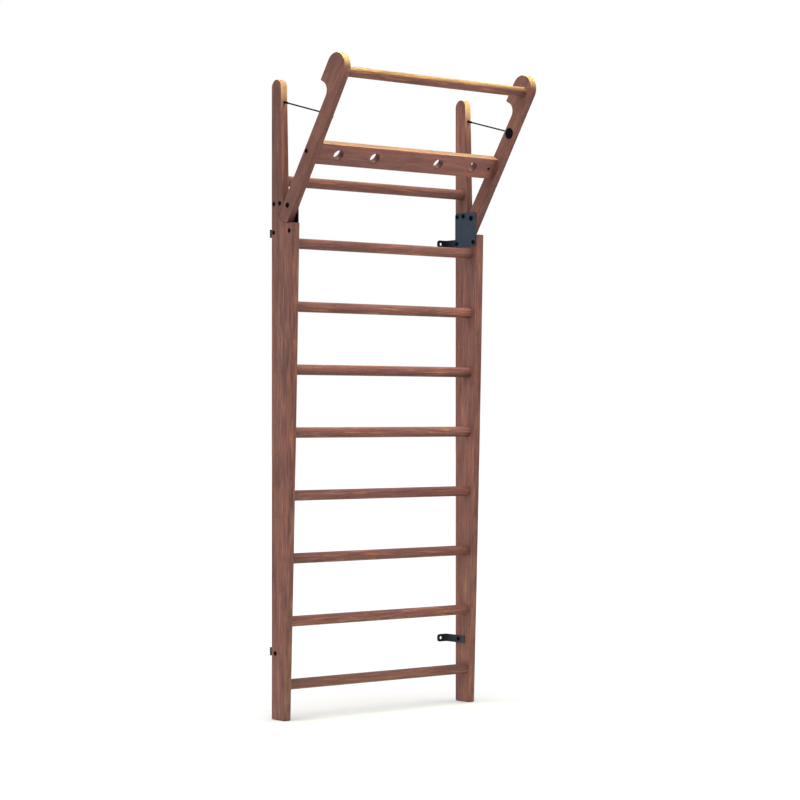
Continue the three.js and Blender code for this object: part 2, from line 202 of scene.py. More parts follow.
def slab(name, points, x0, x1, edge, seg=4, fine=None):
    """An outline of (y, z) points pushed along X, with rounded edges of radius edge, or less where fine(point) says so."""
    turn = [math.pi / 2 * i / seg for i in range(seg + 1)]
    share = [fine(p) if fine else 1.0 for p in points]
    bm = bmesh.new()
    loops = []
    for face, out, angles in ((x0, -1, reversed(turn)), (x1, 1, turn)):
        for a in angles:
            moved = inset(points, edge - edge * math.cos(a))
            loop = []
            for p, q, k in zip(points, moved, share):
                r = p + (q - p) * k
                loop.append(bm.verts.new((face - out * k * edge * (1 - math.sin(a)), r.x, r.y)))
            loops.append(loop)
    n = len(points)
    for low, high in zip(loops, loops[1:]):
        for i in range(n):
            j = (i + 1) % n
            bm.faces.new((low[i], low[j], high[j], high[i]))
    bm.faces.new(list(reversed(loops[0])))
    bm.faces.new(loops[-1])
    bmesh.ops.remove_doubles(bm, verts=bm.verts, dist=1e-4)
    return mesh_of(bm, name)


def turned(name, profile, origin, axis, sides=48):
    """A profile of (radius, along) points, which starts and ends on the axis, turned about the axis through origin."""
    d = Vector(axis).normalized()
    u = d.orthogonal().normalized()
    v = d.cross(u)
    o = Vector(origin)
    bm = bmesh.new()
    rings = []
    for r, t in profile:
        if r <= 1e-9:
            rings.append([bm.verts.new(o + d * t)])
        else:
            rings.append([bm.verts.new(o + d * t + (u * math.cos(a) + v * math.sin(a)) * r) for a in (2 * math.pi * i / sides for i in range(sides))])
    for low, high in zip(rings, rings[1:]):
        for i in range(sides):
            j = (i + 1) % sides
            if len(low) == 1 and len(high) == 1:
                break
            if len(low) == 1:
                bm.faces.new((low[0], high[j], high[i]))
            elif len(high) == 1:
                bm.faces.new((low[i], low[j], high[0]))
            else:
                bm.faces.new((low[i], low[j], high[j], high[i]))
    return mesh_of(bm, name)


def prism(name, sides, across, origin, axis, t0, t1, up):
    """A prism with flat sides, such as the hexagon of a socket key."""
    d = Vector(axis).normalized()
    u = Vector(up).normalized()
    v = d.cross(u)
    o = Vector(origin)
    r = across / 2 / math.cos(math.pi / sides)
    bm = bmesh.new()
    rings = []
    for t in (t0, t1):
        rings.append([bm.verts.new(o + d * t + (u * math.cos(a) + v * math.sin(a)) * r) for a in (2 * math.pi * (i + 0.5) / sides for i in range(sides))])
    for i in range(sides):
        j = (i + 1) % sides
        bm.faces.new((rings[0][i], rings[0][j], rings[1][j], rings[1][i]))
    bm.faces.new(list(reversed(rings[0])))
    bm.faces.new(rings[1])
    return mesh_of(bm, name)


def cylinder(r, origin, axis, t0, t1, sides=40):
    return turned("cutter", [(0, t0), (r, t0), (r, t1), (0, t1)], origin, axis, sides)


def cut(me, cutters):
    """The mesh less the cutters, which don't overlap each other."""
    bm = bmesh.new()
    for c in cutters:
        bm.from_mesh(c)
    tool = bpy.data.objects.new("tool", mesh_of(bm, "tool"))
    for c in cutters:
        bpy.data.meshes.remove(c)
    work = bpy.data.objects.new("work", me)
    collection.objects.link(tool)
    collection.objects.link(work)
    m = work.modifiers.new("cut", "BOOLEAN")
    m.operation, m.solver, m.object = "DIFFERENCE", "EXACT", tool
    bpy.context.view_layer.update()
    made = bpy.data.meshes.new_from_object(work.evaluated_get(bpy.context.evaluated_depsgraph_get()))
    made.name = me.name
    for o in (work, tool):
        data = o.data
        bpy.data.objects.remove(o)
        bpy.data.meshes.remove(data)
    return made


def mirrored(me, name):
    made = me.copy()
    made.name = name
    made.transform(Matrix.Scale(-1, 4, (1, 0, 0)))
    made.flip_normals()
    return made


def add_vectors(me, name, values):
    a = me.attributes.new(name, "FLOAT_VECTOR", "POINT")
    a.data.foreach_set("vector", [c for v in values for c in v])


def add_floats(me, name, values):
    a = me.attributes.new(name, "FLOAT", "POINT")
    a.data.foreach_set("value", list(values))


def piece(name, me, material, body, node, grain=None, edge=None, opened=False, sharp=38.0, weighted=True):
    """Puts a mesh, given in millimetres, into the row frame as a piece that stands for a CAD node."""
    me.name = name
    if grain:
        add_vectors(me, "grain", [grain(v.co) for v in me.vertices])
    if edge:
        add_floats(me, "edge", [edge(v.co) for v in me.vertices])
    me.transform((OPENED @ TO_FRAME) if opened else TO_FRAME)
    me.shade_smooth()
    me.set_sharp_from_angle(angle=math.radians(sharp))
    me.materials.clear()
    me.materials.append(material)
    o = bpy.data.objects.new(name, me)
    collection.objects.link(o)
    if weighted:
        m = o.modifiers.new("normals", "WEIGHTED_NORMAL")
        m.keep_sharp, m.weight = True, 50
    if body:
        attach(o, body)
    for n in [node] if isinstance(node, str) else node:
        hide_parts(n)
    return o


# ---- materials -------------------------------------------------------------------------------------------------------
def lin(r, g, b):
    return tuple((c / 255 / 12.92) if c / 255 <= 0.04045 else ((c / 255 + 0.055) / 1.055) ** 2.4 for c in (r, g, b)) + (1.0,)


class Nodes:
    """Short ways to add shader nodes."""

    def __init__(self, name):
        self.material = bpy.data.materials.new(name)
        self.material.use_nodes = True
        self.tree = self.material.node_tree
        self.tree.nodes.clear()
        self.shader = self.tree.nodes.new("ShaderNodeBsdfPrincipled")
        out = self.tree.nodes.new("ShaderNodeOutputMaterial")
        self.link(self.shader.outputs["BSDF"], out.inputs["Surface"])

    def link(self, a, b):
        self.tree.links.new(a, b)

    def put(self, value, socket):
        if hasattr(value, "is_output"):
            self.link(value, socket)
        else:
            socket.default_value = value

    def attribute(self, name, output="Vector"):
        n = self.tree.nodes.new("ShaderNodeAttribute")
        n.attribute_name = name
        return n.outputs[output]

    def coords(self):
        return self.tree.nodes.new("ShaderNodeTexCoord").outputs["Object"]

    def scaled(self, vector, scale):
        n = self.tree.nodes.new("ShaderNodeVectorMath")
        n.operation = "MULTIPLY"
        self.put(vector, n.inputs[0])
        n.inputs[1].default_value = scale
        return n.outputs[0]

    def vector(self, op, a, b):
        n = self.tree.nodes.new("ShaderNodeVectorMath")
        n.operation = op
        self.put(a, n.inputs[0])
        self.put(b, n.inputs[1])
        return n.outputs["Value"] if op in ("LENGTH", "DOT_PRODUCT", "DISTANCE") else n.outputs[0]

    def math(self, op, a, b=0.0, clamp=False):
        n = self.tree.nodes.new("ShaderNodeMath")
        n.operation, n.use_clamp = op, clamp
        self.put(a, n.inputs[0])
        self.put(b, n.inputs[1])
        return n.outputs[0]

    def noise(self, vector, scale=1.0, detail=2.0, rough=0.5, warp=0.0, output="Fac"):
        n = self.tree.nodes.new("ShaderNodeTexNoise")
        self.put(vector, n.inputs["Vector"])
        n.inputs["Scale"].default_value = scale
        n.inputs["Detail"].default_value = detail
        n.inputs["Roughness"].default_value = rough
        n.inputs["Distortion"].default_value = warp
        return n.outputs[output]

    def ramp(self, value, stops, kind="LINEAR"):
        n = self.tree.nodes.new("ShaderNodeValToRGB")
        n.color_ramp.interpolation = kind
        e = n.color_ramp.elements
        while len(e) < len(stops):
            e.new(0.5)
        for i, (p, c) in enumerate(stops):
            e[i].position = p
            e[i].color = c if hasattr(c, "__len__") else (c, c, c, 1.0)
        self.put(value, n.inputs["Fac"])
        return n.outputs["Color"]

    def step(self, value, a, b, lo=0.0, hi=1.0):
        """A straight ramp from a to b, as a number."""
        n = self.tree.nodes.new("ShaderNodeMapRange")
        n.clamp = True
        self.put(value, n.inputs["Value"])
        for k, v in (("From Min", a), ("From Max", b), ("To Min", lo), ("To Max", hi)):
            n.inputs[k].default_value = v
        return n.outputs["Result"]

    def mix(self, factor, a, b, blend="MIX"):
        n = self.tree.nodes.new("ShaderNodeMix")
        n.data_type, n.blend_type = "RGBA", blend
        self.put(factor, n.inputs[0])
        self.put(a, n.inputs[6])
        self.put(b, n.inputs[7])
        return n.outputs[2]

    def bump(self, height, strength, distance, normal=None):
        n = self.tree.nodes.new("ShaderNodeBump")
        n.inputs["Strength"].default_value = strength
        n.inputs["Distance"].default_value = distance
        self.put(height, n.inputs["Height"])
        if normal:
            self.link(normal, n.inputs["Normal"])
        return n.outputs["Normal"]

    def set(self, **values):
        for k, v in values.items():
            self.put(v, self.shader.inputs[k.replace("_", " ")])
        return self.material


def wood(name, ring=0.0085, streak=110.0, run=6.0, gold=0.55, deep=0.55, lines=0.40, level=1.0, tint=(1.0, 1.0, 1.0), mottle=0.0):
    """Stained walnut. The attribute grain holds metres: X along the fibres, Y and Z from the pith of the log."""
    t = Nodes(name)
    g = t.attribute("grain")
    # growth rings: distance from the pith, bent by slow noise along the board
    slow = t.noise(t.scaled(g, (1.6, 9.0, 9.0)), 1.0, 2.0, 0.5, output="Color")
    bend = t.scaled(t.vector("SUBTRACT", slow, (0.5, 0.5, 0.5)), (0.0, 0.050, 0.050))
    across = t.scaled(t.vector("ADD", g, bend), (0.0, 1.0, 1.0))
    radius = t.vector("LENGTH", across, (0, 0, 0))
    uneven = t.noise(t.scaled(g, (1.1, 26.0, 26.0)), 1.0, 2.0, 0.55)
    phase = t.math("ADD", t.math("DIVIDE", radius, ring), t.math("MULTIPLY", uneven, 2.0))
    part = t.math("FRACT", phase)
    late = t.ramp(part, [(0.0, 0.05), (0.45, 0.15), (0.80, 0.80), (0.93, 1.0), (1.0, 0.05)])
    weight = t.step(t.noise(t.scaled(g, (2.6, 34.0, 34.0)), 1.0, 2.0, 0.5), 0.38, 0.64)
    late = t.math("MULTIPLY", late, t.math("ADD", t.math("MULTIPLY", weight, 0.85), 0.15))
    # streaks of colour that start and stop, short dashes, fibres and open pores
    pale = t.step(t.noise(t.scaled(g, (run, streak, streak)), 1.0, 3.0, 0.60), 0.50, 0.70)
    dark = t.step(t.noise(t.vector("ADD", t.scaled(g, (run * 0.8, streak * 0.8, streak * 0.8)), (7.3, 1.9, 4.4)), 1.0, 3.0, 0.60), 0.50, 0.70)
    glow = t.step(t.noise(t.vector("ADD", t.scaled(g, (run * 1.3, streak * 1.6, streak * 1.6)), (2.7, 8.1, 6.3)), 1.0, 2.0, 0.55), 0.57, 0.72)
    hue = t.step(t.noise(t.scaled(g, (2.0, 30.0, 30.0)), 1.0, 2.0, 0.5), 0.40, 0.62)
    cloud = t.noise(t.scaled(g, (3.4, 16.0, 16.0)), 1.0, 3.0, 0.55)
    dash = t.step(t.noise(t.scaled(g, (22.0, 260.0, 260.0)), 1.0, 2.0, 0.55), 0.52, 0.70)
    fibre = t.noise(t.scaled(g, (16.0, 560.0, 560.0)), 1.0, 3.0, 0.6)
    pore = t.step(t.noise(t.scaled(g, (30.0, 950.0, 950.0)), 1.0, 1.0, 0.5), 0.61, 0.71)
    pore = t.math("MULTIPLY", pore, t.math("SUBTRACT", 1.0, t.math("MULTIPLY", late, 0.6)))
    # colour
    base = t.mix(hue, lin(122, 79, 70), lin(113, 78, 71))
    base = t.mix(t.math("MULTIPLY", pale, 0.55), base, lin(148, 100, 82))
    base = t.mix(t.math("MULTIPLY", dark, deep), base, lin(84, 52, 50))
    base = t.mix(t.math("MULTIPLY", late, lines), base, lin(72, 42, 38))
    base = t.mix(t.math("MULTIPLY", dash, 0.35), base, lin(78, 48, 44))
    base = t.mix(t.math("MULTIPLY", glow, gold), base, lin(190, 128, 84))
    base = t.mix(t.math("MULTIPLY", t.step(fibre, 0.35, 0.70), 0.22), base, lin(88, 56, 50))
    base = t.mix(t.math("MULTIPLY", pore, 0.50), base, lin(46, 28, 25))
    shade = t.step(cloud, 0.30, 0.70, 0.86 * level, 1.14 * level)
    if mottle:
        shade = t.math("MULTIPLY", shade, t.step(t.noise(t.scaled(g, (150.0, 240.0, 240.0)), 1.0, 2.0, 0.55), 0.30, 0.70, 1.0 - mottle, 1.0 + mottle))
    tone = t.tree.nodes.new("ShaderNodeHueSaturation")
    t.link(base, tone.inputs["Color"])
    t.link(t.math("MULTIPLY", shade, t.attribute("tone", "Fac")), tone.inputs["Value"])
    # edges that hands have rubbed are a little lighter
    worn = t.math("MULTIPLY", t.attribute("edge", "Fac"), t.step(t.noise(t.scaled(g, (9.0, 60.0, 60.0)), 1.0, 3.0, 0.6), 0.46, 0.72, 0.0, 0.45))
    colour = t.mix(worn, t.mix(1.0, tone.outputs["Color"], (*tint, 1.0), "MULTIPLY"), lin(166, 110, 84))
    # painted golden highlight on the rounded tops of the heads and uprights, broken up by the fibres
    colour = t.mix(t.math("MULTIPLY", t.attribute("painted_highlight", "Fac"), t.step(fibre, 0.30, 0.70, 0.30, 0.10)), colour, lin(172, 130, 92))
    rough = t.math("ADD", t.step(fibre, 0.3, 0.7, 0.44, 0.56), t.math("MULTIPLY", pore, 0.18))
    height = t.math("SUBTRACT", t.math("MULTIPLY", fibre, 0.5), t.math("ADD", pore, t.math("MULTIPLY", late, -0.25)))
    normal = t.bump(height, 0.35, 0.00025)
    return t.set(Base_Color=colour, Roughness=rough, Specular_IOR_Level=0.20, Normal=normal)


def powder_coat(name, colour, dark, light):
    """Powder coat on steel: a fine orange peel, faint mottling and thin dull scuffs."""
    t = Nodes(name)
    o = t.coords()
    peel = t.noise(o, 900.0, 2.0, 0.5)
    mottle = t.noise(o, 45.0, 3.0, 0.55)
    base = t.mix(t.step(mottle, 0.35, 0.68), dark, colour)
    scuff = t.step(t.noise(t.scaled(o, (60.0, 420.0, 30.0)), 1.0, 4.0, 0.7), 0.62, 0.72)
    base = t.mix(t.math("MULTIPLY", scuff, 0.25), base, light)
    base = t.mix(t.math("MULTIPLY", t.attribute("edge", "Fac"), t.step(mottle, 0.45, 0.62, 0.0, 0.30)), base, light)
    tone = t.tree.nodes.new("ShaderNodeHueSaturation")
    t.link(base, tone.inputs["Color"])
    t.link(t.attribute("tone", "Fac"), tone.inputs["Value"])
    base = tone.outputs["Color"]
    rough = t.math("ADD", t.step(mottle, 0.3, 0.7, 0.40, 0.52), t.math("MULTIPLY", scuff, 0.12))
    return t.set(Base_Color=base, Roughness=rough, Specular_IOR_Level=0.2, Normal=t.bump(peel, 0.22, 0.0003))


def black_steel(name):
    """Black oxide on fasteners, rubbed a little on the raised edges."""
    t = Nodes(name)
    o = t.coords()
    fine = t.noise(o, 1400.0, 2.0, 0.5)
    stain = t.noise(o, 260.0, 3.0, 0.6)
    base = t.mix(t.step(stain, 0.35, 0.70), lin(3, 2, 3), lin(7, 6, 7))
    rubbed = t.math("MULTIPLY", t.attribute("edge", "Fac"), t.step(stain, 0.40, 0.64, 0.0, 0.55))
    base = t.mix(rubbed, base, lin(15, 16, 22))
    return t.set(Base_Color=base, Roughness=t.step(stain, 0.3, 0.7, 0.46, 0.62), Specular_IOR_Level=0.03, Normal=t.bump(fine, 0.12, 0.0002))


def moulded_plastic(name):
    """Black moulded plastic with a spark-eroded texture."""
    t = Nodes(name)
    o = t.coords()
    grain = t.noise(o, 1700.0, 2.0, 0.6)
    cloud = t.noise(o, 120.0, 2.0, 0.5)
    base = t.mix(t.step(cloud, 0.35, 0.66), lin(2, 3, 5), lin(6, 7, 10))
    return t.set(Base_Color=base, Roughness=t.step(cloud, 0.3, 0.7, 0.46, 0.58), Specular_IOR_Level=0.03, Normal=t.bump(grain, 0.30, 0.0002))


def wire(name):
    """Black wire rope: dark in the lays, with bare metal on the crowns of the strands."""
    t = Nodes(name)
    o = t.coords()
    soot = t.noise(o, 700.0, 3.0, 0.6)
    crown = t.math("MULTIPLY", t.attribute("edge", "Fac"), t.step(soot, 0.45, 0.66, 0.10, 0.55))
    base = t.mix(crown, t.mix(soot, lin(3, 3, 4), lin(7, 7, 8)), lin(20, 20, 22))
    return t.set(Base_Color=base, Roughness=t.step(soot, 0.3, 0.7, 0.38, 0.55), Specular_IOR_Level=0.03, Normal=t.bump(soot, 0.15, 0.0002))


def sleeve_rubber(name):
    """Black shrink tube over the end of the rope."""
    t = Nodes(name)
    o = t.coords()
    soft = t.noise(o, 500.0, 3.0, 0.6)
    return t.set(Base_Color=t.mix(soft, lin(3, 3, 4), lin(8, 8, 9)), Roughness=t.step(soft, 0.3, 0.7, 0.52, 0.68), Specular_IOR_Level=0.03, Normal=t.bump(soft, 0.2, 0.0002))


def bronze(name):
    """Plain bearing bronze with turning marks."""
    t = Nodes(name)
    o = t.coords()
    marks = t.noise(t.scaled(o, (2600.0, 60.0, 60.0)), 1.0, 2.0, 0.5)
    stain = t.noise(o, 180.0, 3.0, 0.6)
    base = t.mix(t.step(stain, 0.35, 0.7), lin(120, 92, 54), lin(158, 126, 78))
    return t.set(Base_Color=base, Roughness=t.step(marks, 0.3, 0.7, 0.26, 0.42), Metallic=0.95, Normal=t.bump(marks, 0.15, 0.0002))


UPRIGHT_WOOD = wood("upright_wood", gold=0.42, level=0.79, tint=(1.03, 0.97, 0.96), mottle=0.11)
ARM_WOOD = wood("arm_wood", ring=0.0078, gold=0.25, deep=0.45, lines=0.30, level=0.75, tint=(1.03, 0.97, 0.97), mottle=0.13)
BEAM_WOOD = wood("beam_wood", ring=0.0082, gold=0.25, deep=0.40, lines=0.28, level=1.12, tint=(1.02, 0.98, 0.97), mottle=0.06)
# painted shade inside the four holes of the plank: the plank's wood, darker and redder
BORE_SHADE_WOOD = wood("bore_painted_shade", ring=0.0082, gold=0.25, deep=0.40, lines=0.28, level=0.62, tint=(1.10, 0.74, 0.82), mottle=0.06)
RUNG_WOOD = wood("rung_wood", ring=0.0070, streak=130.0, run=5.0, gold=0.62, deep=0.60, lines=0.45, level=1.09, tint=(1.05, 1.01, 0.99), mottle=0.07)
LOW_RUNG_WOOD = wood("low_rung_wood", ring=0.0070, streak=130.0, run=5.0, gold=0.62, deep=0.60, lines=0.45, level=1.09, tint=(1.07, 0.97, 0.98), mottle=0.07)
BAR_WOOD = wood("bar_wood", ring=0.0070, streak=130.0, run=5.0, gold=0.75, deep=0.60, lines=0.45, level=1.08, tint=(1.06, 1.0, 0.93), mottle=0.05)
PLATE_COAT = powder_coat("plate_coat", lin(37, 50, 66), lin(31, 42, 55), lin(66, 78, 92))
BRACKET_COAT = powder_coat("bracket_coat", lin(45, 47, 56), lin(33, 35, 42), lin(64, 67, 76))
STEEL = black_steel("black_steel")
PLASTIC = moulded_plastic("cap_plastic")
WIRE = wire("wire_rope")
RUBBER = sleeve_rubber("sleeve_rubber")
BRONZE = bronze("bush_bronze")

FRAME_BODY, PULL_BODY = "wall_frame", "pull_up_frame"
SIDES = (("right", 1), ("left", -1))


def toned(o, value):
    """How light the board is: a number, or a function of the place in metres."""
    add_floats(o.data, "tone", [value(v.co) if callable(value) else value for v in o.data.vertices])
    return o


# ---- uprights --------------------------------------------------------------------------------------------------------
STAY_DIR = Vector((0.0, STAY_TO[0] - STAY_FROM[0], STAY_TO[1] - STAY_FROM[1])).normalized()
STAY_SPAN = math.hypot(STAY_TO[0] - STAY_FROM[0], STAY_TO[1] - STAY_FROM[1])
UPRIGHT_EDGE = 1.5
slim_top, slim_foot = Vector((-2 * TOP_R, TOP_CENTRE_Z)), Vector((upper_front(POCKET_TOP), POCKET_TOP))
upright_outline = rounded(
    [(0.0, 0.0, FOOT_R)]
    + [(0.0, TOP_CENTRE_Z * i / 28) for i in range(1, 29)]
    + arc(-TOP_R, TOP_CENTRE_Z, TOP_R, 0, 180, 48)[1:-1]
    + [tuple(slim_top.lerp(slim_foot, i / 8)) for i in range(8)]
    + [(*slim_foot, 2.2)]
    + pivot_arc(POCKET_R, POCKET_TURN, 0, 30)
    + [(-front_depth(SHOULDER_Z), SHOULDER_Z, 1.8)]
    + [(-front_depth(SHOULDER_Z * (1 - i / 24)), SHOULDER_Z * (1 - i / 24)) for i in range(1, 24)]
    + [(-FOOT_DEPTH, 0.0, FOOT_R)]
)


def in_pocket(p):
    """The edges of the pocket are left nearly sharp."""
    return 0.3 if -112.0 < p.x < -30.0 and SHOULDER_Z - 1.0 < p.y < POCKET_TOP + 1.0 else 1.0


upright = slab("upright", upright_outline, INNER, HALF, UPRIGHT_EDGE, 5, in_pocket)
holes = []
for i in range(9):
    y, z = rung_at(i)
    holes.append(cylinder(RUNG_R + FIT, (0, y, z), (1, 0, 0), INNER - 5, INNER + MORTISE + FIT, 64))
for y, z in PLATE_BOLTS + ((LOWER_BOLT_Y, LOWER_Z),):
    holes.append(cylinder(4.35, (0, y, z), (1, 0, 0), INNER - 5, HALF + 5, 32))
stay_from = Vector((STAY_X, *STAY_FROM))
holes.append(cylinder(4.35, stay_from, STAY_DIR, -31, 12, 32))
upright = cut(upright, holes)


def slab_edge(x0, x1, e):
    """How near a point is to the rounded edges of a slab, from its place across the slab's thickness."""

    def of(v):
        d = min(abs(v.x - x0), abs(v.x - x1))
        return 1.0 if 1e-4 < d < e + 1e-3 else (0.55 if d <= e + 1e-3 else 0.0)

    return of


def ramp(value, a, b):
    return max(0.0, min(1.0, (value - a) / (b - a)))


def with_painted_highlight(o, value):
    """The painted golden highlight, as a function of the place in metres."""
    add_floats(o.data, "painted_highlight", [value(v.co) for v in o.data.vertices])
    return o


def hump(value, middle, reach):
    return max(0.0, 1.0 - abs(value - middle) / reach)


def upright_tone_and_light(s):
    """The boards aren't even: the broad faces and the narrow ones differ, and so do the ends. The left upright's narrow
    faces get painted shade from the pivot up, in the gap between arm and upright, and both get painted light near the
    top.
    """

    def of(v):
        broad = abs(v.x) > 0.39985 or abs(v.x) < 0.37515
        up, painted_top_light = ramp(v.z, 1.35, 1.70), ramp(v.z, 1.72, 1.88)
        if s > 0:
            pale = 0.30 * ramp(v.z, 1.10, 1.45) if v.z < 1.59 else 0.0
            # narrow faces: painted light towards the top
            return 1.06 - 0.08 * up + 0.28 * hump(v.z, 0.82, 0.22) if broad else (1.03 - 0.24 * ramp(v.z, 0.35, 0.75) + pale) * (1.0 + 0.15 * painted_top_light)
        low = 0.10 * ramp(v.z, 0.76, 0.62) + 0.22 * hump(v.z, 0.41, 0.16)
        pale = 0.22 * ramp(v.z, 1.02, 1.45) - 0.15 * hump(v.z, 0.62, 0.16) if v.z < 1.59 else 0.0
        # narrow faces: painted shade from the pivot up, where the arm stands close, and painted light towards the top
        return 1.0 - 0.35 * up - low if broad else (0.88 + 0.10 * up + pale) * (1.0 - 0.20 * ramp(v.z, 1.60, 1.68) + 0.24 * painted_top_light)

    return of


def upright_rim_highlight(v):
    """Painted highlight on the front of an upright's rounded top, on its narrow face only."""
    return 0.0 if abs(v.x) > 0.39985 or abs(v.x) < 0.37515 or v.y > -0.07 else 1.5 * ramp(v.z, 1.975, 2.02)


for side, s in SIDES:
    me = upright.copy() if s > 0 else mirrored(upright, "upright")
    shift = 3.1 if s > 0 else 8.7
    pith = (s * (HALF + 62.0), -38.0) if s > 0 else (s * (INNER - 58.0), -62.0)
    flag = slab_edge(s * INNER, s * HALF, UPRIGHT_EDGE)
    board = toned(
        piece(
            side + "_upright_board", me, UPRIGHT_WOOD, FRAME_BODY, side + "_upright",
            grain=lambda v, p=pith, k=shift: (v.z * MM + k, (v.x - p[0]) * MM, (v.y - p[1]) * MM),
            edge=lambda v, f=flag: 0.0 if SHOULDER_Z - 3.0 < v.z < 1720.0 else f(v),
        ),
        upright_tone_and_light(s),
    )
    # painted golden highlight on the front of the upright's top
    with_painted_highlight(board, upright_rim_highlight)
bpy.data.meshes.remove(upright)

# ---- rungs -----------------------------------------------------------------------------------------------------------
# how each rung lies in its log, how light it is, and a painted shade gradient from its top to its underside (above 0
# lighter on top, below 0 darker on top)
RUNG_LOOK = (
    (0.4, 0.605, -0.24), (2.1, 0.765, -0.20), (3.6, 0.62, -0.04), (5.2, 0.75, -0.06), (1.2, 0.945, 0.27),
    (4.4, 0.965, 0.48), (2.9, 1.02, 0.31), (0.9, 0.90, 0.10), (5.8, 0.865, 0.04),
)


def round_bar(name, r, y, z, end, turn, shift, tone, top, skew, material, body, node, opened=False):
    """A turned bar along X, with softened ends, from a log whose pith lies beside it."""
    steps = [i * (end - 4.0) / 20 for i in range(-20, 21)]
    ends = [(r - 1.5, -end), (r - 0.4, -end + 0.5), (r, -end + 1.6)]
    profile = [(0, -end)] + ends + [(r, t) for t in steps] + [(a, -b) for a, b in reversed(ends)] + [(0, end)]
    me = turned(name, profile, (0, y, z), (1, 0, 0), 64)
    py, pz = 34.0 * math.cos(turn), 34.0 * math.sin(turn)
    middle = (OPENED @ at(0, y, z)).z if opened else z * MM
    return toned(
        piece(
            name, me, material, body, node,
            grain=lambda v: (v.x * MM + shift, (v.y - y + py + skew * v.x) * MM, (v.z - z + pz - 0.6 * skew * v.x) * MM),
            edge=lambda v: 0.0, opened=opened,
        ),
        # painted shade: lighter or darker on top by the top number, and darker over the last few centimetres towards
        # each end, where the rung goes into the upright
        lambda v: tone * (1.0 + top * (v.z - middle) / (r * MM)) * (1.0 - 0.13 * ramp(abs(v.x), 0.335, 0.372)),
    )


for i, (turn, tone, top) in enumerate(RUNG_LOOK):
    y, z = rung_at(i)
    round_bar("rung_%d_dowel" % (i + 1), RUNG_R, y, z, INNER + MORTISE, turn, 11.0 + 2.3 * i, tone, top, 0.028 if i % 2 else -0.022, RUNG_WOOD if i > 3 else LOW_RUNG_WOOD, FRAME_BODY, "rung_%d" % (i + 1))
round_bar("pull_up_bar_dowel", BAR_R, BAR_Y, BAR_Z, ARM_IN + BAR_MORTISE, 2.4, 41.7, 0.80, -0.12, -0.026, BAR_WOOD, PULL_BODY, "pull_up_bar", opened=True)

# ---- arms ------------------------------------------------------------------------------------------------------------
ARM_EDGE = 1.5


def arm_back(z):
    return upper_front(z) - ARM_GAP


def folded(y, z):
    a = math.radians(OPEN_DEG)
    dy, dz = y - PIVOT_Y, z - PIVOT_Z
    return PIVOT_Y + dy * math.cos(a) + dz * math.sin(a), PIVOT_Z - dy * math.sin(a) + dz * math.cos(a)


hook_low = HOOK_Z - HOOK_R
arm_points = (
    [(arm_back(hook_low), hook_low)]
    + arc(arm_back(hook_low) + HOOK_R, hook_low, HOOK_R, 180, 90, 24)[1:]
    + [(*HOOK_TIP, 2.6)]
    + arc(HEAD_Y, HEAD_Z, HEAD_R, -1.4, 176, 60)
    + [ARM_FRONT_TOP]
    + pivot_arc(ARM_FOOT_R, ARM_FOOT_FROM, ARM_FOOT_TO, 28)
)


def at_foot(p):
    return 0.3 if p.y < 1612.0 else 1.0


arm = slab("arm", rounded([tuple(p) for p in arm_points]), ARM_IN, ARM_OUT, ARM_EDGE, 5, at_foot)
in_y, in_z = folded(*STAY_TO)
from_y, from_z = folded(*STAY_FROM)
arm_dir = Vector((0.0, in_y - from_y, in_z - from_z)).normalized()
arm = cut(
    arm,
    [
        cylinder(7.85, (0, PIVOT_Y, PIVOT_Z), (1, 0, 0), ARM_IN - 5, ARM_OUT + 5, 40),
        cylinder(BAR_R + FIT, (0, BAR_Y, BAR_Z), (1, 0, 0), ARM_IN - 5, ARM_IN + BAR_MORTISE + FIT, 64),
        cylinder(4.35, (0, *BEAM_BOLT), (1, 0, 0), ARM_IN - 5, ARM_OUT + 5, 32),
    ],
)
arm = cut(arm, [cylinder(CAP_BORE, (0, CAP_Y, CAP_Z), (1, 0, 0), ARM_IN - 5, ARM_IN + 19, 48)])
arm = cut(arm, [cylinder(3.5, (STAY_X, in_y, in_z), arm_dir, -20, 14, 24)])
HEAD_MIDDLE = OPENED @ at(0, HEAD_Y, HEAD_Z)


def head_front_light(v):
    """0 on the back and the very top of an arm's head, 1 towards its front, where the painted light on the head is
    strongest.
    """
    return ramp(math.degrees(math.atan2(HEAD_MIDDLE.y - v.y, v.z - HEAD_MIDDLE.z)), -15.0, 38.0)


def arm_tone_and_light(s):
    """The narrow faces are a little lighter than the broad ones; round the head they carry painted light, darker at the
    back and the very top and lightest towards the front.
    """

    def of(v):
        if abs(v.x) > 0.39935 or abs(v.x) < 0.37565:
            return 1.0 if s > 0 else 0.82
        near = ramp(v.z, 2.02, 2.06)
        return (1.0 if s > 0 else 0.98) * (1.0 - near) + (0.72 + 0.38 * head_front_light(v)) * near

    return of


def head_rim_highlight(v):
    """Painted highlight on the rounded top of an arm, on its narrow face only, strongest towards the front."""
    return 0.0 if abs(v.x) > 0.39935 or abs(v.x) < 0.37565 else head_front_light(v) * (ramp(v.z, 2.05, 2.085) if v.x > 0 else 1.6 * ramp(v.z, 2.035, 2.062))


